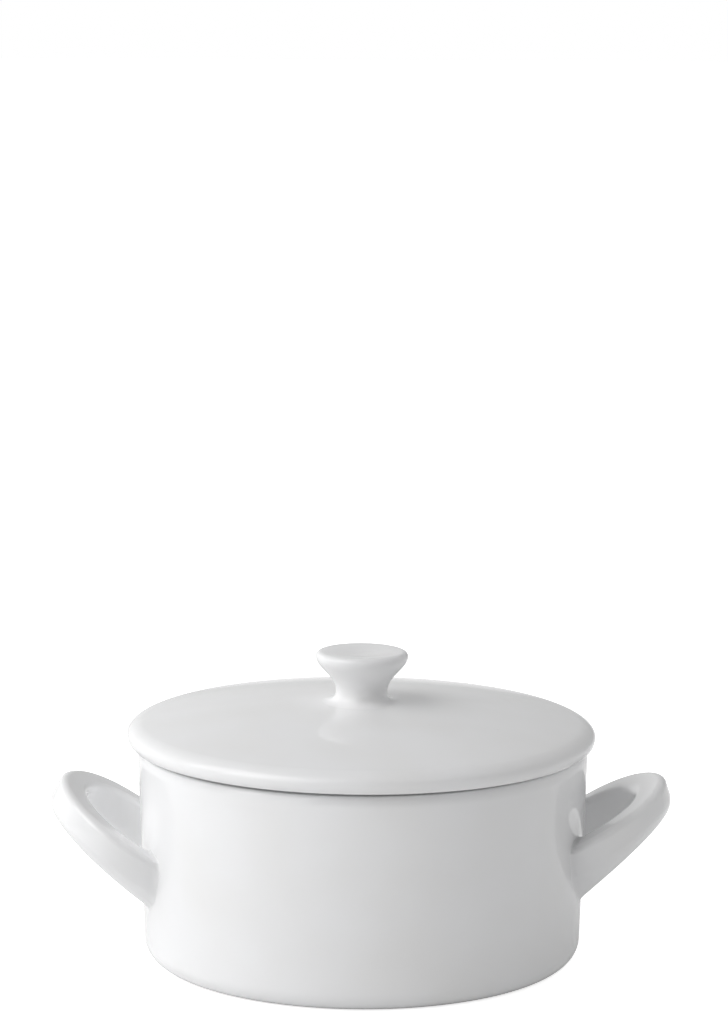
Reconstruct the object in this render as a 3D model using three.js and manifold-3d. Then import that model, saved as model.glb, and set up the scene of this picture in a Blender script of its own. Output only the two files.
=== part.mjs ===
// Mini casserole dish: a straight-sided glazed pot with two loop handles and a lid with a flared knob.
// Millimetres, +Z up. The origin is on the surface that the dish stands on, on the axis of the pot,
// and the handles lie along X.
import * as THREE from "three";
import { mergeVertices } from "three/addons/utils/BufferGeometryUtils.js";
import Module from "manifold-3d";

// Pot
const BOWL_HEIGHT = 52.4;
const RIM_RADIUS = 55; // outside of the wall at the rim
const BASE_RADIUS = 53.3; // outside of the wall, carried straight down to the table
const WALL = 4.5;
const FLOOR = 5;
const RIM_ROUND = 1.6; // inside of the rim
const SHOULDER_WIDTH = 1; // outside of the rim, a flat oval
const SHOULDER_HEIGHT = 3;
const BASE_CORNER = 4.8; // outside, wall to foot
const FLOOR_CORNER = 9; // inside, wall to floor
const FOOT_WIDTH = 5.5; // flat ring that the pot stands on
const FOOT_RECESS = 1.2; // how far the middle of the base is raised

// Loop handles
const HANDLE_RISE = 31.2; // degrees that the loop rises outwards
const HANDLE_LEAN = 23.3; // degrees that the strap's sides lean towards the pot
const HANDLE_HEIGHT = 28.3; // middle of the loop above the table
const HANDLE_INSET = 1.7; // middle of the loop inside the face of the wall
const LOOP_LENGTH = 26.2; // half the loop's outside length, up the slope
const LOOP_WIDTH = 27.3; // half the loop's outside width, before its legs draw in
const LOOP_NARROWING = 0.143; // share of its width that the loop loses from the tip to its middle
const STRAP_WIDTH = 8.2; // across the strap, along the face of the loop
const STRAP_DEPTH = 6.5; // down the strap's sides, at the tip
const STRAP_DEEPENING = 0.08; // growth of its lower half, for each millimetre from the tip
const LEG_DRAW = 0.5; // how far the legs slope in below the strap's middle, for each millimetre down
const STRAP_ROUND = 2.4;
const ROOT_SPREAD = 1.2; // how far each leg spreads where it meets the wall
const ROOT_LENGTH = 8; // how far from the wall a leg starts to spread

// Lid
const LID_RADIUS = 57.15;
const LID_CROWN = 10.45; // crown above the seat
const LID_EDGE_HEIGHT = 2.75; // widest place above the seat
const LID_TUCK = 1.55; // how far the edge curves in again below its widest place
const LID_ROLL = 3.95; // width of the shoulder that rolls over into the edge
const ROLL_HEIGHT = 1.9; // dome, carried out to the edge, above the widest place
const ROLL_FULLNESS = 0.76; // share of that height that the edge climbs before it turns in
const ROLL_LEAD = 0.5; // share of the shoulder that leaves the dome along its slope
const LID_THICKNESS = 4.5;
const RING_DEPTH = 5; // locating ring below the lid's seat
const RING_WIDTH = 3;
const RING_ROUND = 1.2;

// Knob
const KNOB_RADIUS = 11.15;
const KNOB_HEIGHT = 12.8; // above its seat on the lid
const KNOB_LIP = 1.7; // radius of the round lip
const KNOB_DISH = 0.9; // depth of the hollow in the top
const NECK_RADIUS = 6.3;
const NECK_HEIGHT = 2.6; // narrowest place above the seat
const KNOB_FOOT_RADIUS = 9;
const FOOT_EDGE = 0.3;
const FLARE_START = 0.45; // share of the flare that still rises straight from the neck
const FLARE_END = 0.36; // share of the flare that runs straight up into the lip

// Fits
const LID_GAP = 0.3; // lid seat above the rim
const RING_CLEARANCE = 0.8; // locating ring inside the rim, on the radius
const SLIP_JOINT = 0.3; // handle legs to the wall

// Facets
const POT_SIDES = 64;
const KNOB_SIDES = 48;
const ARC_STEPS = 3; // each arc of a profile gets twice this many chords
const LOOP_STEPS = 42;
const LOOP_SWEEP = 125; // degrees each way from the tip; the ends lie inside the wall
const STRAP_CORNER_STEPS = 3;

const GLAZE = { color: 0xf1f1f2, roughness: 0.16, metalness: 0 };

const QUARTER = Math.PI / 2;
const DRAFT = Math.atan((RIM_RADIUS - BASE_RADIUS) / BOWL_HEIGHT);

const wasm = await Module();
wasm.setup();

// Outside radius of the wall at a height.
function wallRadius(z) {
  return BASE_RADIUS + z * Math.tan(DRAFT);
}

// A closed geometry with position only, shared vertices and no collapsed triangles.
function closed(geometry) {
  const bare = geometry.clone();
  bare.deleteAttribute("normal");
  bare.deleteAttribute("uv");
  const merged = mergeVertices(bare, 1e-4);
  const index = merged.index.array;
  const kept = [];
  for (let i = 0; i < index.length; i += 3) {
    const [a, b, c] = index.slice(i, i + 3);
    if (a !== b && b !== c && c !== a) kept.push(a, b, c);
  }
  merged.setIndex(kept);
  return merged;
}

// A profile of radius and height, revolved about Z.
function revolve(path, sides) {
  const geometry = new THREE.LatheGeometry(path.getPoints(ARC_STEPS), sides);
  return closed(geometry.rotateX(QUARTER));
}

function toSolid(geometry) {
  return new wasm.Manifold(
    new wasm.Mesh({
      numProp: 3,
      vertProperties: new Float32Array(geometry.attributes.position.array),
      triVerts: new Uint32Array(geometry.index.array),
    }),
  );
}

function toGeometry(solid) {
  const mesh = solid.getMesh();
  const geometry = new THREE.BufferGeometry();
  geometry.setAttribute("position", new THREE.BufferAttribute(mesh.vertProperties, 3));
  geometry.setIndex(new THREE.BufferAttribute(mesh.triVerts, 1));
  return geometry;
}

// The outside of the pot from the axis to the top of the wall, grown by a gap.
function outsidePath(path, gap) {
  const radius = BASE_CORNER + gap;
  const cornerHeight = BASE_CORNER;
  const cornerRadius = wallRadius(cornerHeight) - BASE_CORNER / Math.cos(DRAFT);
  path.lineTo(cornerRadius, cornerHeight - radius);
  path.absarc(cornerRadius, cornerHeight, radius, -QUARTER, -DRAFT, false);
}

function bowlGeometry() {
  const path = new THREE.Path();
  const footOuter = wallRadius(BASE_CORNER) - BASE_CORNER / Math.cos(DRAFT);
  const footInner = footOuter - FOOT_WIDTH;
  const rimHeight = BOWL_HEIGHT - RIM_ROUND;
  const shoulderHeight = BOWL_HEIGHT - SHOULDER_HEIGHT;
  const shoulderRadius = wallRadius(shoulderHeight) - SHOULDER_WIDTH;
  const shoulderTurn = -Math.atan((Math.tan(DRAFT) * SHOULDER_HEIGHT) / SHOULDER_WIDTH);
  const rimInner = wallRadius(rimHeight) - (WALL - RIM_ROUND) / Math.cos(DRAFT);
  const floorHeight = FLOOR + FLOOR_CORNER;
  const floorRadius = wallRadius(floorHeight) - (WALL + FLOOR_CORNER) / Math.cos(DRAFT);
  path.moveTo(0, FOOT_RECESS);
  path.lineTo(footInner - FOOT_RECESS, FOOT_RECESS);
  path.lineTo(footInner, 0);
  outsidePath(path, 0);
  path.absellipse(
    shoulderRadius, shoulderHeight, SHOULDER_WIDTH, SHOULDER_HEIGHT, shoulderTurn, QUARTER, false, 0,
  );
  path.absarc(rimInner, rimHeight, RIM_ROUND, QUARTER, Math.PI - DRAFT, false);
  path.absarc(floorRadius, floorHeight, FLOOR_CORNER, -DRAFT, -QUARTER, true);
  path.lineTo(0, FLOOR);
  return revolve(path, POT_SIDES);
}

// The filled outside of the pot, as large as the slip joint leaves it, which cuts the legs of a handle.
function wallCutter() {
  const path = new THREE.Path();
  path.moveTo(0, -SLIP_JOINT);
  outsidePath(path, SLIP_JOINT);
  path.lineTo(wallRadius(BOWL_HEIGHT) + SLIP_JOINT / Math.cos(DRAFT), BOWL_HEIGHT);
  path.lineTo(0, BOWL_HEIGHT);
  return toSolid(revolve(path, POT_SIDES));
}

// Half the length and width of the ellipse that the middle of the strap follows.
function loopMiddle() {
  return { length: LOOP_LENGTH - STRAP_WIDTH / 2, width: LOOP_WIDTH - STRAP_WIDTH / 2 };
}

// The middle line of a handle: an arc of an ellipse in its own plane, open towards the pot.
class LoopLine extends THREE.Curve {
  getPoint(t, target = new THREE.Vector3()) {
    const turn = THREE.MathUtils.degToRad(LOOP_SWEEP) * (2 * t - 1);
    const { length, width } = loopMiddle();
    return target.set(length * Math.cos(turn), width * Math.sin(turn), 0);
  }
}

// The section of a handle: a rectangle with round corners.
function strapSection() {
  const depth = STRAP_DEPTH / 2;
  const width = STRAP_WIDTH / 2;
  const round = Math.min(STRAP_ROUND, depth, width);
  const shape = new THREE.Shape();
  shape.moveTo(depth, width - round);
  shape.absarc(depth - round, width - round, round, 0, QUARTER, false);
  shape.absarc(round - depth, width - round, round, QUARTER, Math.PI, false);
  shape.absarc(round - depth, round - width, round, Math.PI, 3 * QUARTER, false);
  shape.absarc(depth - round, round - width, round, 3 * QUARTER, 4 * QUARTER, false);
  return shape;
}

// Deepens the strap and narrows the loop towards the wall, slopes the lower half of the legs in, and
// spreads the legs close to the wall, so that each root runs out in a fillet.
function shapeLegs(geometry, place) {
  const middle = new THREE.Vector3();
  const point = new THREE.Vector3();
  const inPot = new THREE.Vector3();
  const position = geometry.attributes.position;
  const { length, width } = loopMiddle();
  for (let i = 0; i < position.count; i += 1) {
    point.fromBufferAttribute(position, i);
    const turn = Math.atan2(point.y / width, point.x / length);
    middle.set(length * Math.cos(turn), width * Math.sin(turn), 0);
    inPot.copy(middle).applyMatrix4(place);
    const outside = Math.hypot(inPot.x, inPot.y) - wallRadius(inPot.z);
    const short = 1 - THREE.MathUtils.clamp(outside / ROOT_LENGTH, 0, 1);
    if (point.z < 0) point.z *= 1 + STRAP_DEEPENING * (LOOP_LENGTH - point.x);
    point.sub(middle);
    point.setLength(point.length() + ROOT_SPREAD * short ** 2).add(middle);
    point.y *= 1 - LOOP_NARROWING * Math.max(0, 1 - point.x / LOOP_LENGTH) ** 2;
    point.y += LEG_DRAW * Math.sin(turn) * Math.min(0, point.z);
    position.setXYZ(i, point.x, point.y, point.z);
  }
}

// Places a loop: its face rises outwards, and the sides of its strap lean less than square to that face.
function handlePlace() {
  const rise = THREE.MathUtils.degToRad(HANDLE_RISE);
  const lean = THREE.MathUtils.degToRad(HANDLE_LEAN);
  const outwards = new THREE.Vector3(Math.cos(rise), 0, Math.sin(rise));
  const across = new THREE.Vector3(0, 1, 0);
  const upwards = new THREE.Vector3(-Math.sin(lean), 0, Math.cos(lean));
  const place = new THREE.Matrix4().makeBasis(outwards, across, upwards);
  return place.setPosition(wallRadius(HANDLE_HEIGHT) - HANDLE_INSET, 0, HANDLE_HEIGHT);
}

// One handle on the +X side of the pot, cut off at the wall.
function handleGeometry() {
  const geometry = new THREE.ExtrudeGeometry(strapSection(), {
    steps: LOOP_STEPS,
    curveSegments: STRAP_CORNER_STEPS,
    extrudePath: new LoopLine(),
  });
  const place = handlePlace();
  const loop = closed(geometry);
  shapeLegs(loop, place);
  loop.applyMatrix4(place);
  return toGeometry(toSolid(loop).subtract(wallCutter()));
}

// The dome of the lid: a sphere that rolls over into the round edge.
function lidDome() {
  const seat = BOWL_HEIGHT + LID_GAP;
  const edgeHeight = seat + LID_EDGE_HEIGHT;
  const rise = LID_CROWN - LID_EDGE_HEIGHT - ROLL_HEIGHT;
  const radius = (LID_RADIUS ** 2 + rise ** 2) / (2 * rise);
  const centre = seat + LID_CROWN - radius;
  return { seat, edgeHeight, radius, centre };
}

// Height of the flat at the crown of the lid, where the knob stands.
function knobSeat() {
  const { radius, centre } = lidDome();
  return centre + Math.sqrt(radius ** 2 - KNOB_FOOT_RADIUS ** 2);
}

function lidGeometry() {
  const { seat, edgeHeight, radius, centre } = lidDome();
  const ringOuter = RIM_RADIUS - WALL / Math.cos(DRAFT) - RING_CLEARANCE;
  const ringInner = ringOuter - RING_WIDTH;
  const ringRound = Math.min(RING_ROUND, RING_WIDTH / 2);
  const ringFoot = seat - RING_DEPTH + ringRound;
  const inner = radius - LID_THICKNESS;
  const crownTurn = Math.acos(KNOB_FOOT_RADIUS / radius);
  const shoulder = LID_RADIUS - LID_ROLL;
  const shoulderTurn = Math.acos(shoulder / radius);
  const shoulderHeight = centre + Math.sqrt(radius ** 2 - shoulder ** 2);
  const lead = ROLL_LEAD * LID_ROLL;
  const leadHeight = shoulderHeight - lead / Math.tan(shoulderTurn);
  const ringTurn = Math.acos(ringInner / inner);
  const path = new THREE.Path();
  path.moveTo(0, centre + inner);
  path.absarc(0, centre, inner, QUARTER, ringTurn, true);
  path.lineTo(ringInner, ringFoot);
  path.absarc(ringInner + ringRound, ringFoot, ringRound, Math.PI, 3 * QUARTER, false);
  path.absarc(ringOuter - ringRound, ringFoot, ringRound, -QUARTER, 0, false);
  path.lineTo(ringOuter, seat);
  path.absellipse(LID_RADIUS - LID_TUCK, edgeHeight, LID_TUCK, LID_EDGE_HEIGHT, -QUARTER, 0, false, 0);
  path.bezierCurveTo(
    LID_RADIUS, edgeHeight + ROLL_FULLNESS * ROLL_HEIGHT,
    shoulder + lead, leadHeight, shoulder, shoulderHeight,
  );
  path.absarc(0, centre, radius, shoulderTurn, crownTurn, false);
  path.lineTo(0, knobSeat());
  return revolve(path, POT_SIDES);
}

function knobGeometry() {
  const seat = knobSeat();
  const neck = seat + NECK_HEIGHT;
  const lip = seat + KNOB_HEIGHT - KNOB_LIP;
  const lipRadius = KNOB_RADIUS - KNOB_LIP;
  const flare = lip - neck;
  const dishRadius = (lipRadius ** 2 + KNOB_DISH ** 2) / (2 * KNOB_DISH);
  const dishTurn = Math.asin(lipRadius / dishRadius);
  const top = seat + KNOB_HEIGHT;
  const path = new THREE.Path();
  path.moveTo(0, seat);
  path.lineTo(KNOB_FOOT_RADIUS, seat);
  path.lineTo(KNOB_FOOT_RADIUS, seat + FOOT_EDGE);
  path.bezierCurveTo(NECK_RADIUS, seat + FOOT_EDGE, NECK_RADIUS, seat + FOOT_EDGE, NECK_RADIUS, neck);
  path.bezierCurveTo(
    NECK_RADIUS, neck + FLARE_START * flare, KNOB_RADIUS, lip - FLARE_END * flare, KNOB_RADIUS, lip,
  );
  path.absarc(lipRadius, lip, KNOB_LIP, 0, QUARTER, false);
  path.absarc(0, top - KNOB_DISH + dishRadius, dishRadius, dishTurn - QUARTER, -QUARTER, true);
  return revolve(path, KNOB_SIDES);
}

function piece(name, geometry) {
  const mesh = new THREE.Mesh(geometry, new THREE.MeshStandardMaterial(GLAZE));
  mesh.name = name;
  return mesh;
}

const dish = new THREE.Group();
const rightHandle = piece("right_handle", handleGeometry());
const leftHandle = piece("left_handle", handleGeometry());
leftHandle.rotation.z = Math.PI;
dish.add(piece("dish_bowl", bowlGeometry()), leftHandle, rightHandle);

const lid = new THREE.Group();
lid.add(piece("lid_plate", lidGeometry()), piece("lid_knob", knobGeometry()));

const casserole = new THREE.Group();
casserole.add(dish, lid);

export default casserole;
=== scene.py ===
"""Mini casserole dish: white glazed pot, two loop handles and a domed lid with a flared knob.

Sizes are in millimetres until a mesh is written, and every mesh is in metres in the frame of the part.
"""

import logging
import math
from dataclasses import dataclass
from enum import Enum

import bpy
import numpy as np
from mathutils import Euler, Matrix, Vector


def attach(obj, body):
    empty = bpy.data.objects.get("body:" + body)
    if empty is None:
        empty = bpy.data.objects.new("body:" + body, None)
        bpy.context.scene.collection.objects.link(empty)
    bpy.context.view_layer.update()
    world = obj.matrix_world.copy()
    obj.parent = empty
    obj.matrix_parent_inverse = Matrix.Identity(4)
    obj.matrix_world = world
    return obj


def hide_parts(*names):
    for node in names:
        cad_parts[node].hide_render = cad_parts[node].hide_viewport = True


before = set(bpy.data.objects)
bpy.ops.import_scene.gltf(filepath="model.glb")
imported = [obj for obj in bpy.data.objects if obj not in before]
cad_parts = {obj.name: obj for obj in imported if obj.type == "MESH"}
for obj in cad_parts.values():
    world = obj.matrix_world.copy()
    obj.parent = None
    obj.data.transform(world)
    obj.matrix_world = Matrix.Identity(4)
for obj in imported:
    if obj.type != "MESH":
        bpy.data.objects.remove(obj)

log = logging.getLogger("casserole")

MM = 0.001
WHITE = (1.0, 1.0, 1.0, 1.0)

Point = tuple[float, float]
Direction = tuple[float, float, float]
Colour = tuple[float, float, float, float]
Term = float | bpy.types.NodeSocket

SKIN_INPUTS = {
    "Place": "NodeSocketVector",
    "Glaze Colour": "NodeSocketColor",
    "Thin Colour": "NodeSocketColor",
    "Bare Colour": "NodeSocketColor",
    "Gloss Roughness": "NodeSocketFloat",
    "Thin Roughness": "NodeSocketFloat",
    "Bare Below": "NodeSocketFloat",
}
SKIN_OUTPUTS = {
    "Colour": "NodeSocketColor",
    "Roughness": "NodeSocketFloat",
    "Height": "NodeSocketFloat",
}


class Body(Enum):
    """The two things that come apart."""

    DISH = "dish"
    LID = "lid"


class Side(Enum):
    """Which side of the pot a handle is on, as the sign of its X."""

    LEFT = -1
    RIGHT = 1


def feed(tree: bpy.types.NodeTree, socket: bpy.types.NodeSocket, term: Term) -> None:
    """Links another node's socket into a socket, or sets it to a plain number.

    Args:
        tree: the node tree.
        socket: what is fed.
        term: a number or a socket.
    """
    if isinstance(term, bpy.types.NodeSocket):
        tree.links.new(term, socket)
    else:
        socket.default_value = term


def calculate(tree: bpy.types.NodeTree, operation: str, *terms: Term) -> bpy.types.NodeSocket:
    """Adds a Math node.

    Args:
        tree: the node tree.
        operation: what it works out.
        terms: its numbers or sockets, in order.

    Returns:
        Its result.
    """
    node = tree.nodes.new("ShaderNodeMath")
    node.operation = operation
    for socket, term in zip(node.inputs, terms):
        feed(tree, socket, term)
    return node.outputs["Value"]


def blend(
    tree: bpy.types.NodeTree, kind: str, share: Term, first: Term, second: Term
) -> bpy.types.NodeSocket:
    """Adds a Mix node.

    Args:
        tree: the node tree.
        kind: what it mixes, RGBA or FLOAT.
        share: how much of the second there is.
        first: the first number or socket.
        second: the second number or socket.

    Returns:
        Its result.
    """
    node = tree.nodes.new("ShaderNodeMix")
    node.data_type = kind
    feed(tree, node.inputs["Factor"], share)
    feed(tree, node.inputs["A"], first)
    feed(tree, node.inputs["B"], second)
    return node.outputs["Result"]


def ramp(tree: bpy.types.NodeTree, value: Term, span: Point, result: Point) -> bpy.types.NodeSocket:
    """Adds a Map Range node.

    Args:
        tree: the node tree.
        value: what is mapped.
        span: where the ramp starts and stops.
        result: what it gives there.

    Returns:
        Its result.
    """
    node = tree.nodes.new("ShaderNodeMapRange")
    feed(tree, node.inputs["Value"], value)
    for name, term in zip(("From Min", "From Max", "To Min", "To Max"), span + result):
        feed(tree, node.inputs[name], term)
    return node.outputs["Result"]


class Profile:
    """A half outline of radius and height in millimetres, drawn from the axis and back to it."""

    SUPPORT = 0.12  # millimetres from a corner to its close ring
    PLAIN = 4 * SUPPORT  # a stretch up to this length gets no close rings
    SHORTEST = 1e-6  # a stretch up to this length is left out

    def __init__(self, start: Point) -> None:
        """Starts the outline at a point."""
        self.points: list[Point] = [start]

    def run(self, end: Point) -> "Profile":
        """Adds a straight stretch with a close ring at each end, so that it shades flat.

        Args:
            end: where it stops.

        Returns:
            The profile itself.
        """
        start = self.points[-1]
        length = math.dist(start, end)
        if length > self.PLAIN:
            step = ((end[0] - start[0]) / length, (end[1] - start[1]) / length)
            for along in (self.SUPPORT, length - self.SUPPORT):
                self.points.append((start[0] + along * step[0], start[1] + along * step[1]))
        if length > self.SHORTEST:
            self.points.append(end)
        return self

    def arc(self, centre: Point, radii: Point, start: float, stop: float, steps: int) -> "Profile":
        """Adds an arc of a circle or an ellipse, with a straight run to its first point.

        Args:
            centre: middle of the arc.
            radii: its radius outwards and its radius upwards.
            start: first angle, in radians from the outward direction.
            stop: last angle.
            steps: how many chords it gets.

        Returns:
            The profile itself.
        """
        for i in range(steps + 1):
            angle = start + (stop - start) * i / steps
            point = (centre[0] + radii[0] * math.cos(angle), centre[1] + radii[1] * math.sin(angle))
            if i == 0:
                self.run(point)
            else:
                self.points.append(point)
        return self

    def curve(self, first: Point, second: Point, end: Point, steps: int) -> "Profile":
        """Adds a cubic curve.

        Args:
            first: the handle at its start.
            second: the handle at its end.
            end: where it stops.
            steps: how many chords it gets.

        Returns:
            The profile itself.
        """
        corners = np.array([self.points[-1], first, second, end])
        for i in range(1, steps + 1):
            t = i / steps
            weights = np.array([(1 - t) ** 3, 3 * t * (1 - t) ** 2, 3 * t * t * (1 - t), t**3])
            r, z = weights @ corners
            self.points.append((float(r), float(z)))
        return self


class Wheel:
    """Turns a profile about Z with Geometry Nodes, as a potter's wheel would."""

    SIDES = 192
    HUB = 1e-7  # metres; radius of the ring that carries the profile round
    WELD = 2e-6  # metres; closes the seam and the poles

    def __init__(self) -> None:
        """Builds the node tree once, for every turned piece."""
        self.tree = bpy.data.node_groups.new("turned_on_wheel", "GeometryNodeTree")
        socket = self.tree.interface.new_socket
        socket("Profile", in_out="INPUT", socket_type="NodeSocketGeometry")
        self.sides_socket = socket("Sides", in_out="INPUT", socket_type="NodeSocketInt").identifier
        self.glaze_socket = socket("Glaze", in_out="INPUT", socket_type="NodeSocketMaterial").identifier
        socket("Clay", in_out="OUTPUT", socket_type="NodeSocketGeometry")
        self._wire()

    def _wire(self) -> None:
        """Joins the nodes: a ring of almost no radius carries the profile round the axis."""
        new, link = self.tree.nodes.new, self.tree.links.new
        source = new("NodeGroupInput")
        outline = new("GeometryNodeMeshToCurve")
        ring = new("GeometryNodeCurvePrimitiveCircle")
        ring.inputs["Radius"].default_value = self.HUB
        sweep = new("GeometryNodeCurveToMesh")
        weld = new("GeometryNodeMergeByDistance")
        weld.inputs["Distance"].default_value = self.WELD
        smooth = new("GeometryNodeSetShadeSmooth")
        realize = new("GeometryNodeRealizeInstances")
        paint = new("GeometryNodeSetMaterial")
        out = new("NodeGroupOutput")
        link(source.outputs["Profile"], outline.inputs["Mesh"])
        link(source.outputs["Sides"], ring.inputs["Resolution"])
        link(ring.outputs["Curve"], sweep.inputs["Curve"])
        link(outline.outputs["Curve"], sweep.inputs["Profile Curve"])
        link(sweep.outputs["Mesh"], weld.inputs["Geometry"])
        link(weld.outputs["Geometry"], smooth.inputs["Geometry"])
        link(smooth.outputs["Geometry"], realize.inputs["Geometry"])
        link(realize.outputs["Geometry"], paint.inputs["Geometry"])
        link(source.outputs["Glaze"], paint.inputs["Material"])
        link(paint.outputs["Geometry"], out.inputs["Clay"])

    def turn(self, name: str, profile: Profile, glaze: bpy.types.Material) -> bpy.types.Object:
        """Turns one piece.

        Args:
            name: the piece's name.
            profile: its half outline.
            glaze: its material.

        Returns:
            A plain mesh object at the origin.
        """
        points = [(r * MM, -z * MM, 0.0) for r, z in reversed(profile.points)]
        edges = [(i, i + 1) for i in range(len(points) - 1)]
        outline = bpy.data.meshes.new(name + "_outline")
        outline.from_pydata(points, edges, [])
        piece = bpy.data.objects.new(name, outline)
        bpy.context.collection.objects.link(piece)
        modifier = piece.modifiers.new("wheel", "NODES")
        modifier.node_group = self.tree
        modifier[self.sides_socket] = self.SIDES
        modifier[self.glaze_socket] = glaze
        evaluated = piece.evaluated_get(bpy.context.evaluated_depsgraph_get())
        mesh = bpy.data.meshes.new_from_object(evaluated)
        piece.modifiers.remove(modifier)
        piece.data = mesh
        bpy.data.meshes.remove(outline)
        mesh.name = name
        return piece


@dataclass(frozen=True)
class Glaze:
    """White gloss glaze over a white body, with the small unevenness of a fired surface."""

    name: str
    colour: Colour = (0.885, 0.888, 0.896, 1.0)
    thin_colour: Colour = (0.86, 0.86, 0.86, 1.0)
    bare_colour: Colour = (0.66, 0.63, 0.58, 1.0)
    roughness: float = 0.05
    thin_roughness: float = 0.08
    bare_below: float = 0.0003  # metres; the clay under this height has no glaze
    wave_height: float = 0.0002  # metres
    wave_strength: float = 0.22
    ior: float = 1.5

    def material(self, skin: bpy.types.NodeTree) -> bpy.types.Material:
        """Makes the material.

        Args:
            skin: the shared glaze group.

        Returns:
            A procedural material.
        """
        made = bpy.data.materials.new(self.name)
        made.use_nodes = True
        nodes, links = made.node_tree.nodes, made.node_tree.links
        shader = nodes["Principled BSDF"]
        place = nodes.new("ShaderNodeTexCoord")
        surface = nodes.new("ShaderNodeGroup")
        surface.node_tree = skin
        surface.inputs["Glaze Colour"].default_value = self.colour
        surface.inputs["Thin Colour"].default_value = self.thin_colour
        surface.inputs["Bare Colour"].default_value = self.bare_colour
        surface.inputs["Gloss Roughness"].default_value = self.roughness
        surface.inputs["Thin Roughness"].default_value = self.thin_roughness
        surface.inputs["Bare Below"].default_value = self.bare_below
        bump = nodes.new("ShaderNodeBump")
        bump.inputs["Distance"].default_value = self.wave_height
        bump.inputs["Strength"].default_value = self.wave_strength
        links.new(place.outputs["Object"], surface.inputs["Place"])
        links.new(surface.outputs["Colour"], shader.inputs["Base Color"])
        links.new(surface.outputs["Roughness"], shader.inputs["Roughness"])
        links.new(surface.outputs["Height"], bump.inputs["Height"])
        links.new(bump.outputs["Normal"], shader.inputs["Normal"])
        shader.inputs["IOR"].default_value = self.ior
        return made


@dataclass(frozen=True)
class GlazeSkin:
    """How a fired glaze is uneven: soft waves, pinholes, thin spots and a bare foot.

    Scales are cells in a metre. The pits and the thin spots are spans of their texture's own value.
    """

    wave_scale: float = 55.0
    wave_detail: float = 1.0
    pit_scale: float = 95.0
    pit: Point = (0.012, 0.03)
    thin: Point = (0.35, 0.75)
    bare_roughness: float = 0.75

    def group(self) -> bpy.types.NodeTree:
        """Builds the shader group that every glazed piece shares.

        Returns:
            The group.
        """
        tree = bpy.data.node_groups.new("glaze_skin", "ShaderNodeTree")
        for label, kind in SKIN_INPUTS.items():
            tree.interface.new_socket(label, in_out="INPUT", socket_type=kind)
        for label, kind in SKIN_OUTPUTS.items():
            tree.interface.new_socket(label, in_out="OUTPUT", socket_type=kind)
        source = tree.nodes.new("NodeGroupInput").outputs
        out = tree.nodes.new("NodeGroupOutput").inputs
        waves = tree.nodes.new("ShaderNodeTexNoise")
        waves.inputs["Scale"].default_value = self.wave_scale
        waves.inputs["Detail"].default_value = self.wave_detail
        pits = tree.nodes.new("ShaderNodeTexVoronoi")
        pits.inputs["Scale"].default_value = self.pit_scale
        split = tree.nodes.new("ShaderNodeSeparateXYZ")
        for texture in (waves, pits, split):
            feed(tree, texture.inputs["Vector"], source["Place"])
        wave = waves.outputs["Fac"]
        pit = ramp(tree, pits.outputs["Distance"], self.pit, (1.0, 0.0))
        thin = ramp(tree, wave, self.thin, (0.0, 1.0))
        bare = calculate(tree, "LESS_THAN", split.outputs["Z"], source["Bare Below"])
        colour = blend(tree, "RGBA", thin, source["Glaze Colour"], source["Thin Colour"])
        gloss = blend(tree, "FLOAT", thin, source["Gloss Roughness"], source["Thin Roughness"])
        feed(tree, out["Colour"], blend(tree, "RGBA", bare, colour, source["Bare Colour"]))
        feed(tree, out["Roughness"], blend(tree, "FLOAT", bare, gloss, self.bare_roughness))
        feed(tree, out["Height"], calculate(tree, "SUBTRACT", wave, pit))
        return tree


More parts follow.
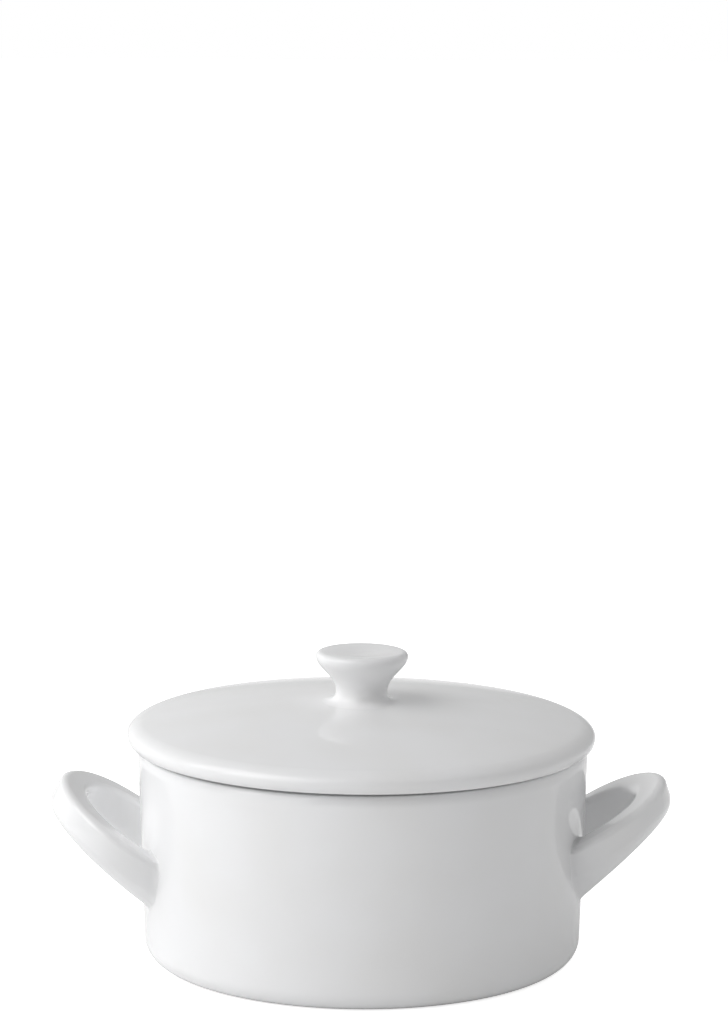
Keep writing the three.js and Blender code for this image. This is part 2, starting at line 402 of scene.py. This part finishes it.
@dataclass
class Pot:
    """The bowl: a drafted wall on a foot ring. Its sizes are in millimetres."""

    height: float = 52.0
    rim_radius: float = 55.0
    base_radius: float = 53.3
    wall: float = 4.5
    floor: float = 5.0
    rim_round: float = 1.6
    rim_shoulder: Point = (1.1, 2.6)  # across and up
    base_corner: float = 4.8
    floor_corner: float = 9.0
    foot_width: float = 5.5
    foot_recess: float = 1.2
    foot_slope: float = 2.4  # width of the slope from the raised base to the foot ring
    foot_ease: Point = (1.2, 1.0)  # how far inside the ring the handles of its curve lie

    @property
    def draft(self) -> float:
        """Lean of the wall, in radians."""
        return math.atan((self.rim_radius - self.base_radius) / self.height)

    def wall_radius(self, z: float | np.ndarray) -> float | np.ndarray:
        """Outside radius of the wall at a height or at many."""
        return self.base_radius + z * math.tan(self.draft)

    def profile(self) -> Profile:
        """Draws the half outline from the raised base round the wall to the floor.

        Returns:
            The profile.
        """
        lean = 1.0 / math.cos(self.draft)
        quarter = math.pi / 2
        corner = (self.wall_radius(self.base_corner) - self.base_corner * lean, self.base_corner)
        foot_inner = corner[0] - self.foot_width
        across, up = self.rim_shoulder
        shoulder_turn = -math.atan(math.tan(self.draft) * up / across)
        shoulder = self.height - up
        shoulder_wall = self.wall_radius(shoulder) - across
        rim_height = self.height - self.rim_round
        rim_inner = self.wall_radius(rim_height) - (self.wall - self.rim_round) * lean
        floor_height = self.floor + self.floor_corner
        floor_wall = self.wall_radius(floor_height) - (self.wall + self.floor_corner) * lean
        slope_start, slope_stop = foot_inner - self.foot_ease[0], foot_inner - self.foot_ease[1]
        base_radii = (self.base_corner, self.base_corner)
        rim_radii = (self.rim_round, self.rim_round)
        floor_radii = (self.floor_corner, self.floor_corner)
        made = Profile((0.0, self.foot_recess))
        made.run((foot_inner - self.foot_slope, self.foot_recess))
        made.curve((slope_start, self.foot_recess), (slope_stop, 0.0), (foot_inner, 0.0), steps=8)
        made.arc(corner, base_radii, -quarter, -self.draft, steps=20)
        made.arc((shoulder_wall, shoulder), self.rim_shoulder, shoulder_turn, quarter, steps=24)
        made.arc((rim_inner, rim_height), rim_radii, quarter, math.pi - self.draft, steps=14)
        made.arc((floor_wall, floor_height), floor_radii, -self.draft, -quarter, steps=20)
        made.run((0.0, self.floor))
        return made

    def build(self, wheel: Wheel, glaze: bpy.types.Material) -> bpy.types.Object:
        """Turns the bowl and puts it in the place of its solid.

        Args:
            wheel: what turns it.
            glaze: its material.

        Returns:
            The piece.
        """
        piece = wheel.turn("glazed_bowl", self.profile(), glaze)
        settle(piece, Body.DISH, "dish_bowl")
        return piece


@dataclass
class Loop:
    """One loop handle: a strap on an oval that rises from the wall, deeper towards its two roots.

    Lengths are in millimetres and angles in degrees. The middle of the oval lies inside the wall. The rise
    is the slope of the oval, and the lean that of the strap's sides. Towards the wall the oval narrows, the
    lower half of the strap deepens, its upper outer edge falls, and the legs are drawn in below.
    """

    pot: Pot
    side: Side
    centre_height: float
    rise: float
    lean: float
    reach: float
    half_width: float
    narrowing: float
    strap_width: float
    upper_depth: float
    lower_depth: float
    deepening: float
    edge_round: float
    edge_fall: float
    leg_draw: float
    inner_draw: float = 0.35
    deepening_power: float = 1.6
    centre_x: float = 52.5
    sweep: float = 165.0  # degrees of the oval to each side of its tip
    fillet: float = 1.3
    fillet_rings: int = 10
    around: int = 72  # points round the strap
    along: int = 170  # rings along the oval, before it is cut to the wall
    rows: int = 110  # rings between the two fillets
    sink: float = 0.06  # how far the fillet's foot lies under the wall's surface
    plug: float = 0.97  # where the middle of a root's cap lies, as a share of its distance from the axis
    search_steps: int = 12
    search_pace: float = 0.9

    def section(self) -> np.ndarray:
        """Draws the outline of the strap.

        Returns:
            Rows of (outwards along the face of the loop, square to it), in millimetres.
        """
        bend = self.edge_round
        side = self.strap_width / 2 - bend
        face = (self.upper_depth + self.lower_depth) / 2 - bend
        corners = ((side, face, 0), (-side, face, 1), (-side, -face, 2), (side, -face, 3))
        steps = self.around // 4
        rows = []
        for x, y, quarter in corners:
            for i in range(steps):
                angle = math.pi / 2 * (quarter + i / (steps - 1))
                rows.append((x + bend * math.cos(angle), y + bend * math.sin(angle)))
        return np.array(rows)

    def tube(self) -> np.ndarray:
        """Carries the strap round the oval, from inside the wall to inside the wall.

        Returns:
            Points on the +X side, as (along, around, xyz), in millimetres.
        """
        angle = np.radians(np.linspace(-self.sweep, self.sweep, self.along))[:, None]
        out = np.concatenate([np.cos(angle) / self.reach, np.sin(angle) / self.half_width], 1)
        out /= np.linalg.norm(out, axis=1, keepdims=True)
        section = self.section()
        inwards = section[:, 0] - self.strap_width / 2
        outwards = self.reach * np.cos(angle) + out[:, :1] * inwards
        y = self.half_width * np.sin(angle) + out[:, 1:] * inwards
        near_wall = np.maximum(0.0, 1 - outwards / self.reach) ** 2
        across = 1 + inwards / self.strap_width
        height = np.broadcast_to(section[:, 1] / section[:, 1].max(), outwards.shape)
        from_tip = np.maximum(0.0, self.reach - outwards)
        deep = self.lower_depth * (1 + self.deepening * from_tip**self.deepening_power)
        below = np.maximum(0.0, -height) * deep
        above = np.maximum(0.0, height) * (self.upper_depth - self.edge_fall * near_wall * across)
        draw = self.leg_draw * (self.inner_draw + (1 - self.inner_draw) * across)
        y = y * (1 - self.narrowing * near_wall) - np.sin(angle) * draw * below * np.abs(height)
        upwards = above - below
        rise, lean = math.radians(self.rise), math.radians(self.lean)
        x = self.centre_x + outwards * math.cos(rise) - upwards * math.sin(lean)
        z = self.centre_height + outwards * math.sin(rise) + upwards * math.cos(lean)
        return np.stack([x, y, z], -1)

    def outside(self, points: np.ndarray) -> np.ndarray:
        """Distance of points outside the wall."""
        return np.hypot(points[..., 0], points[..., 1]) - self.pot.wall_radius(points[..., 2])

    def on_wall(self, points: np.ndarray) -> np.ndarray:
        """Moves points straight out or in until they lie just under the wall's surface.

        Args:
            points: rows of xyz, in millimetres.

        Returns:
            The moved points.
        """
        wall = self.pot.wall_radius(points[..., 2]) - self.sink
        share = wall / np.hypot(points[..., 0], points[..., 1])
        return points * np.stack([share, share, np.ones_like(share)], -1)

    def root(self, tube: np.ndarray) -> tuple[np.ndarray, np.ndarray]:
        """Works out the fillet at the first end of a tube.

        Args:
            tube: points of the loop, with the end to fillet first.

        Returns:
            The fillet's rings from the wall outwards, and where each strand leaves the fillet, as an index.
        """
        gap = self.outside(tube)[: len(tube) // 2]
        start = np.array([np.nonzero(strand < self.fillet)[0].max() + 1 for strand in gap.T])
        strands = np.arange(tube.shape[1])
        first = tube[start, strands]
        ahead = first - tube[start - 1, strands]
        ahead /= np.linalg.norm(ahead, axis=1, keepdims=True)
        back = np.zeros(len(strands))
        for _ in range(self.search_steps):
            back += self.outside(first - ahead * back[:, None]) * self.search_pace
        corner = self.on_wall(first - ahead * back[:, None])
        middle = corner.mean(0)
        normal = middle * (1, 1, 0) / np.linalg.norm(middle[:2])
        spread = corner - middle
        spread -= np.outer(spread @ normal, normal)
        spread /= np.linalg.norm(spread, axis=1, keepdims=True)
        foot = self.on_wall(corner + spread * self.fillet)
        t = np.linspace(0.0, 1.0, self.fillet_rings, endpoint=False)[:, None, None]
        return (1 - t) ** 2 * foot + 2 * t * (1 - t) * corner + t**2 * first, start

    def rings(self) -> np.ndarray:
        """Works out the rings of the whole loop, from the foot of one root to that of the other.

        Returns:
            Points as (along, around, xyz), in millimetres.
        """
        tube = self.tube()
        near, near_start = self.root(tube)
        far, far_start = self.root(tube[::-1])
        far_start = len(tube) - 1 - far_start
        index = near_start + np.linspace(0.0, 1.0, self.rows)[:, None] * (far_start - near_start)
        low = np.floor(index).astype(int)
        high = np.minimum(low + 1, len(tube) - 1)
        part = (index - low)[..., None]
        strands = np.arange(tube.shape[1])
        middle = tube[low, strands] * (1 - part) + tube[high, strands] * part
        return np.concatenate([near, middle, far[::-1]]) * (self.side.value, self.side.value, 1)

    def mesh(self, name: str) -> bpy.types.Mesh:
        """Skins the loop and caps its two roots inside the wall.

        Args:
            name: the mesh's name.

        Returns:
            The mesh, in metres.
        """
        rings = self.rings()
        last, count = len(rings) - 1, rings.shape[1]
        strands = [(j, (j + 1) % count) for j in range(count)]
        points = rings.reshape(-1, 3).tolist()
        faces = []
        for i in range(last):
            here, there = i * count, (i + 1) * count
            faces += [(here + j, there + j, there + k, here + k) for j, k in strands]
        for ring, turn in ((0, 1), (last, -1)):
            start, centre = ring * count, len(points)
            points.append((rings[ring].mean(0) * self.plug).tolist())
            faces += [(centre, *(start + j, start + k)[::turn]) for j, k in strands]
        made = bpy.data.meshes.new(name)
        made.from_pydata((np.array(points) * MM).tolist(), [], faces)
        made.shade_smooth()
        return made

    def build(self, name: str, node: str, glaze: bpy.types.Material) -> bpy.types.Object:
        """Makes one handle and puts it in the place of its solid.

        Args:
            name: the piece's name.
            node: the solid that it stands for.
            glaze: its material.

        Returns:
            The piece.
        """
        mesh = self.mesh(name)
        mesh.materials.append(glaze)
        piece = bpy.data.objects.new(name, mesh)
        bpy.context.collection.objects.link(piece)
        settle(piece, Body.DISH, node)
        return piece


@dataclass
class Lid:
    """The domed lid with its round edge, its locating ring and its flared knob.

    Lengths are in millimetres and the tilt in degrees. An ease says how far the handles of a curve reach,
    in millimetres for the ring and the foot, and as shares of the flare and of the hollow for the others.
    """

    pot: Pot
    gap: float = 0.7  # from the rim up to the underside
    offset: float = -0.4  # along X, so to the left
    tilt: float = 0.25  # right side down
    radius: float = 57.15
    edge_height: float = 2.6
    tuck: float = 1.55  # width of the rounding under the edge
    shoulder: float = 53.2  # radius where the dome passes into the rolled edge
    crown: float = 10.45  # height of the dome over the underside
    dome: float = 285.0  # radius of the dome's sphere
    roll_height: float = 1.35
    roll_lead: float = 0.5  # share of the roll's width over which its handle follows the dome
    thickness: float = 4.5
    ledge: float = 1.5  # width of the flat beside the ring
    lift: float = 0.2  # how much the underside rises from there to the edge
    tuck_lead: float = 0.3  # level stretch before the rounding
    ring_depth: float = 5.0
    ring_width: float = 3.0
    ring_round: float = 1.2
    ring_clearance: float = 0.8
    ring_ease: Point = (1.0, 1.2)
    knob_radius: float = 11.3
    knob_height: float = 12.5
    knob_lip: Point = (1.5, 1.2)
    knob_dish: float = 0.7
    neck_radius: float = 6.3
    neck_height: float = 2.6
    knob_foot: float = 10.2
    knob_sink: float = 0.02  # how far the knob's foot goes into the dome
    foot_ease: Point = (1.1, 0.8)
    flare_ease: Point = (0.45, 0.68)
    dish_ease: Point = (0.72, 0.36)

    @property
    def seat(self) -> float:
        """Height of the face that rests over the rim."""
        return self.pot.height + self.gap

    @property
    def dome_centre(self) -> float:
        """Height of the middle of the dome's sphere."""
        return self.seat + self.crown - self.dome

    def dome_height(self, r: float) -> float:
        """Height of the top of the lid at a radius, inside the shoulder."""
        return self.dome_centre + math.sqrt(self.dome**2 - r * r)

    def plate_profile(self) -> Profile:
        """Draws the lid from its hollow underside round the ring and the edge to the crown.

        Returns:
            The profile.
        """
        quarter = math.pi / 2
        inside = self.pot.rim_radius - self.pot.wall / math.cos(self.pot.draft)
        ring_outer = inside - self.ring_clearance
        ring_inner = ring_outer - self.ring_width
        ring_foot = self.seat - self.ring_depth + self.ring_round
        ring_radii = (self.ring_round, self.ring_round)
        middle = (0.0, self.dome_centre)
        hollow = self.dome - self.thickness
        hollow_stop = math.acos((ring_inner - self.ring_ease[0]) / hollow)
        edge = self.seat + self.edge_height
        tuck_start = self.radius - self.tuck
        tuck_radii = (self.tuck, self.edge_height - self.lift)
        shoulder_turn = math.acos(self.shoulder / self.dome)
        shoulder = (self.shoulder, self.dome_height(self.shoulder))
        lead = self.roll_lead * (self.radius - self.shoulder)
        fall = shoulder[1] - lead / math.tan(shoulder_turn)
        made = Profile((0.0, self.dome_centre + hollow))
        made.arc(middle, (hollow, hollow), quarter, hollow_stop, steps=16)
        root = (ring_inner, made.points[-1][1])
        made.curve(root, root, (ring_inner, root[1] - self.ring_ease[1]), steps=8)
        made.arc((ring_inner + self.ring_round, ring_foot), ring_radii, math.pi, 3 * quarter, steps=8)
        made.arc((ring_outer - self.ring_round, ring_foot), ring_radii, -quarter, 0.0, steps=8)
        made.run((ring_outer, self.seat))
        made.run((ring_outer + self.ledge, self.seat))
        made.run((tuck_start - self.tuck_lead, self.seat + self.lift))
        made.arc((tuck_start, edge), tuck_radii, -quarter, 0.0, steps=20)
        made.curve((self.radius, edge + self.roll_height), (self.shoulder + lead, fall), shoulder, steps=30)
        made.arc(middle, (self.dome, self.dome), shoulder_turn, quarter, steps=30)
        return made

    def knob_profile(self) -> Profile:
        """Draws the knob from its spread foot on the dome to the hollow in its top.

        Returns:
            The profile.
        """
        seat = self.dome_height(self.knob_foot)
        foot = seat - self.knob_sink
        neck = seat + self.neck_height
        top = seat + self.knob_height
        lip = (self.knob_radius - self.knob_lip[0], top - self.knob_lip[1])
        flare = lip[1] - neck
        made = Profile((0.0, foot))
        made.run((self.knob_foot, foot))
        made.curve(
            (self.neck_radius + self.foot_ease[0], self.dome_height(self.neck_radius) + self.knob_sink),
            (self.neck_radius, seat + self.foot_ease[1]),
            (self.neck_radius, neck),
            steps=16,
        )
        made.curve(
            (self.neck_radius, neck + self.flare_ease[0] * flare),
            (self.knob_radius, neck + self.flare_ease[1] * flare),
            (self.knob_radius, lip[1]),
            steps=28,
        )
        made.arc(lip, self.knob_lip, 0.0, math.pi / 2, steps=16)
        made.curve(
            (self.dish_ease[0] * lip[0], top),
            (self.dish_ease[1] * lip[0], top - self.knob_dish),
            (0.0, top - self.knob_dish),
            steps=24,
        )
        return made

    def shift(self, piece: bpy.types.Object) -> None:
        """Slides and tips a piece to where the loose lid lies on the rim.

        Args:
            piece: the lid or its knob.
        """
        seat = Matrix.Translation((0.0, 0.0, self.seat * MM))
        tip = seat @ Matrix.Rotation(math.radians(self.tilt), 4, "Y") @ seat.inverted()
        piece.data.transform(Matrix.Translation((self.offset * MM, 0.0, 0.0)) @ tip)

    def build(self, wheel: Wheel, glaze: bpy.types.Material) -> list[bpy.types.Object]:
        """Turns the lid and its knob and puts them in the place of their solids.

        Args:
            wheel: what turns them.
            glaze: their material.

        Returns:
            The two pieces.
        """
        plate = wheel.turn("glazed_lid", self.plate_profile(), glaze)
        self.shift(plate)
        settle(plate, Body.LID, "lid_plate")
        knob = wheel.turn("glazed_knob", self.knob_profile(), glaze)
        self.shift(knob)
        settle(knob, Body.LID, "lid_knob")
        return [plate, knob]


@dataclass
class Studio:
    """A white floor, a bank of soft boxes on the left, a softly lit room and the photograph's camera.

    The camera is given in millimetres, degrees and pixels of the photograph. The rest is in metres, degrees
    and watts. A box is its turn, height and power. A glow of the room is its direction, power of the cosine
    and strength.
    """

    camera_distance: float = 900.0
    elevation: float = 13.5
    aim_height: float = 40.0
    focal_pixels: float = 3660.0
    frame_pixels: tuple[int, int] = (728, 1024)
    aim_pixel: Point = (363.9, 792.8)
    sensor: float = 36.0
    roll: float = 0.27
    clip: Point = (0.01, 50.0)
    box_size: float = 1.2
    box_distance: float = 1.5
    box_aim: float = 0.03
    boxes: tuple[tuple[float, float, float], ...] = (
        (-110.0, 25.0, 0.9),
        (-75.0, 45.0, 8.4),
        (-50.0, 25.0, 6.2),
        (-45.0, 50.0, 3.9),
    )
    glows: tuple[tuple[Direction, float, float], ...] = (
        ((1.0, 0.0, 0.0), 2.0, 0.74),
        ((0.0, 0.0, 1.0), 2.0, 0.19),
        ((-0.7071, 0.7071, 0.0), 3.0, 1.40),
        ((0.7071, 0.7071, 0.0), 3.0, 0.38),
    )
    floor_half: float = 6.0
    floor_colour: Colour = (0.78, 0.78, 0.78, 1.0)
    floor_roughness: float = 0.9
    floor_glow: float = 0.146
    floor_lift: float = 0.75  # more glow where the camera sees the floor itself
    floor_mirrored: float = 0.24  # more glow where the glaze mirrors it
    floor_shade: float = 0.1  # reach of the shade round the dish

    def camera(self) -> None:
        """Places the camera without lens shift, so that the dish lies low in the frame."""
        raised = math.radians(self.elevation)
        away = self.camera_distance * math.cos(raised)
        up = self.aim_height + self.camera_distance * math.sin(raised)
        right = (self.aim_pixel[0] - self.frame_pixels[0] / 2) / self.focal_pixels * self.camera_distance
        below = math.atan((self.aim_pixel[1] - self.frame_pixels[1] / 2) / self.focal_pixels)
        data = bpy.data.cameras.new("camera")
        data.sensor_width = self.sensor
        data.lens = self.focal_pixels / max(self.frame_pixels) * self.sensor
        data.clip_start, data.clip_end = self.clip
        made = bpy.data.objects.new("camera", data)
        made.location = Vector((-right, -away, up)) * MM
        pitch = Euler((math.pi / 2 - raised + below, 0.0, 0.0)).to_matrix()
        roll = Matrix.Rotation(math.radians(self.roll), 3, "Z")
        made.rotation_euler = (pitch @ roll).to_euler()
        bpy.context.collection.objects.link(made)
        bpy.context.scene.camera = made

    def floor_material(self) -> bpy.types.Material:
        """Makes the pale floor's material, which glows less close to the dish.

        Returns:
            The material.
        """
        made = bpy.data.materials.new("pale_floor")
        made.use_nodes = True
        tree = made.node_tree
        shader = tree.nodes["Principled BSDF"].inputs
        shader["Base Color"].default_value = self.floor_colour
        shader["Roughness"].default_value = self.floor_roughness
        shader["Specular IOR Level"].default_value = 0.0
        shader["Emission Color"].default_value = WHITE
        ray = tree.nodes.new("ShaderNodeLightPath").outputs
        near = tree.nodes.new("ShaderNodeAmbientOcclusion")
        near.inputs["Distance"].default_value = self.floor_shade
        glow = calculate(tree, "MULTIPLY_ADD", ray["Is Glossy Ray"], self.floor_mirrored, self.floor_glow)
        shaded = calculate(tree, "MULTIPLY", glow, near.outputs["AO"])
        lifted = calculate(tree, "MULTIPLY_ADD", ray["Is Camera Ray"], self.floor_lift, shaded)
        feed(tree, shader["Emission Strength"], lifted)
        return made

    def floor(self) -> None:
        """Lays the pale floor."""
        mesh = bpy.data.meshes.new("floor")
        signs = ((-1, -1), (1, -1), (1, 1), (-1, 1))
        corners = [(x * self.floor_half, y * self.floor_half, 0.0) for x, y in signs]
        mesh.from_pydata(corners, [], [(0, 1, 2, 3)])
        mesh.materials.append(self.floor_material())
        piece = bpy.data.objects.new("floor", mesh)
        bpy.context.collection.objects.link(piece)

    def room(self) -> None:
        """Lights the room with soft glows, and shows the camera an even white behind the dish."""
        world = bpy.data.worlds.new("room")
        world.use_nodes = True
        tree = world.node_tree
        place = tree.nodes.new("ShaderNodeTexCoord").outputs["Generated"]
        total: Term = 0.0
        for direction, power, strength in self.glows:
            facing = tree.nodes.new("ShaderNodeVectorMath")
            facing.operation = "DOT_PRODUCT"
            facing.inputs[1].default_value = direction
            feed(tree, facing.inputs[0], place)
            front = calculate(tree, "MAXIMUM", facing.outputs["Value"], 0.0)
            share = calculate(tree, "POWER", front, power)
            total = calculate(tree, "MULTIPLY_ADD", share, strength, total)
        lit = tree.nodes["Background"]
        feed(tree, lit.inputs["Strength"], total)
        backdrop = tree.nodes.new("ShaderNodeBackground")
        for background in (lit, backdrop):
            background.inputs["Color"].default_value = WHITE
        ray = tree.nodes.new("ShaderNodeLightPath").outputs
        mix = tree.nodes.new("ShaderNodeMixShader")
        feed(tree, mix.inputs["Fac"], ray["Is Camera Ray"])
        feed(tree, mix.inputs[1], lit.outputs["Background"])
        feed(tree, mix.inputs[2], backdrop.outputs["Background"])
        feed(tree, tree.nodes["World Output"].inputs["Surface"], mix.outputs["Shader"])
        bpy.context.scene.world = world

    def soft_box(self, turn: float, height: float, power: float) -> None:
        """Hangs one square soft box that faces the dish.

        Args:
            turn: degrees round the dish, from the camera's side to the right.
            height: degrees above the floor.
            power: watts.
        """
        turned, raised = math.radians(turn), math.radians(height)
        across = math.cos(raised)
        aim = Vector((0.0, 0.0, self.box_aim))
        towards = Vector((math.sin(turned) * across, -math.cos(turned) * across, math.sin(raised)))
        place = towards * self.box_distance
        data = bpy.data.lights.new("soft_box", "AREA")
        data.size = self.box_size
        data.energy = power
        made = bpy.data.objects.new("soft_box", data)
        made.location = place
        made.rotation_euler = (aim - place).to_track_quat("-Z", "Y").to_euler()
        bpy.context.collection.objects.link(made)

    def build(self) -> None:
        """Sets the whole studio."""
        self.camera()
        self.floor()
        self.room()
        for turn, height, power in self.boxes:
            self.soft_box(turn, height, power)
        bpy.context.scene.view_settings.view_transform = "Standard"


def settle(piece: bpy.types.Object, body: Body, node: str) -> None:
    """Puts a piece in the place of a solid, on the body that carries it.

    Args:
        piece: the finished piece.
        body: what it moves with.
        node: the solid that it stands for.
    """
    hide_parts(node)
    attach(piece, body.value)
    log.info("%s stands for %s: %d faces", piece.name, node, len(piece.data.polygons))


def main() -> None:
    """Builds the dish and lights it."""
    logging.basicConfig(level=logging.INFO, format="%(message)s")
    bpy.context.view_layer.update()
    glaze = Glaze("gloss_glaze").material(GlazeSkin().group())
    wheel = Wheel()
    pot = Pot()
    pot.build(wheel, glaze)
    left = Loop(
        pot, Side.LEFT, centre_height=26.63, rise=33.6, lean=28.7,
        reach=27.0, half_width=28.9, narrowing=0.14,
        strap_width=7.8, upper_depth=3.5, lower_depth=4.4, deepening=0.004,
        edge_round=2.0, edge_fall=0.3, leg_draw=0.66,
    )
    right = Loop(
        pot, Side.RIGHT, centre_height=29.95, rise=28.85, lean=17.9,
        reach=25.35, half_width=25.7, narrowing=0.146,
        strap_width=8.6, upper_depth=2.95, lower_depth=4.8, deepening=0.0071,
        edge_round=2.4, edge_fall=0.65, leg_draw=0.76,
    )
    left.build("glazed_left_loop", "left_handle", glaze)
    right.build("glazed_right_loop", "right_handle", glaze)
    Lid(pot).build(wheel, glaze)
    Studio().build()


if __name__ == "__main__":
    main()
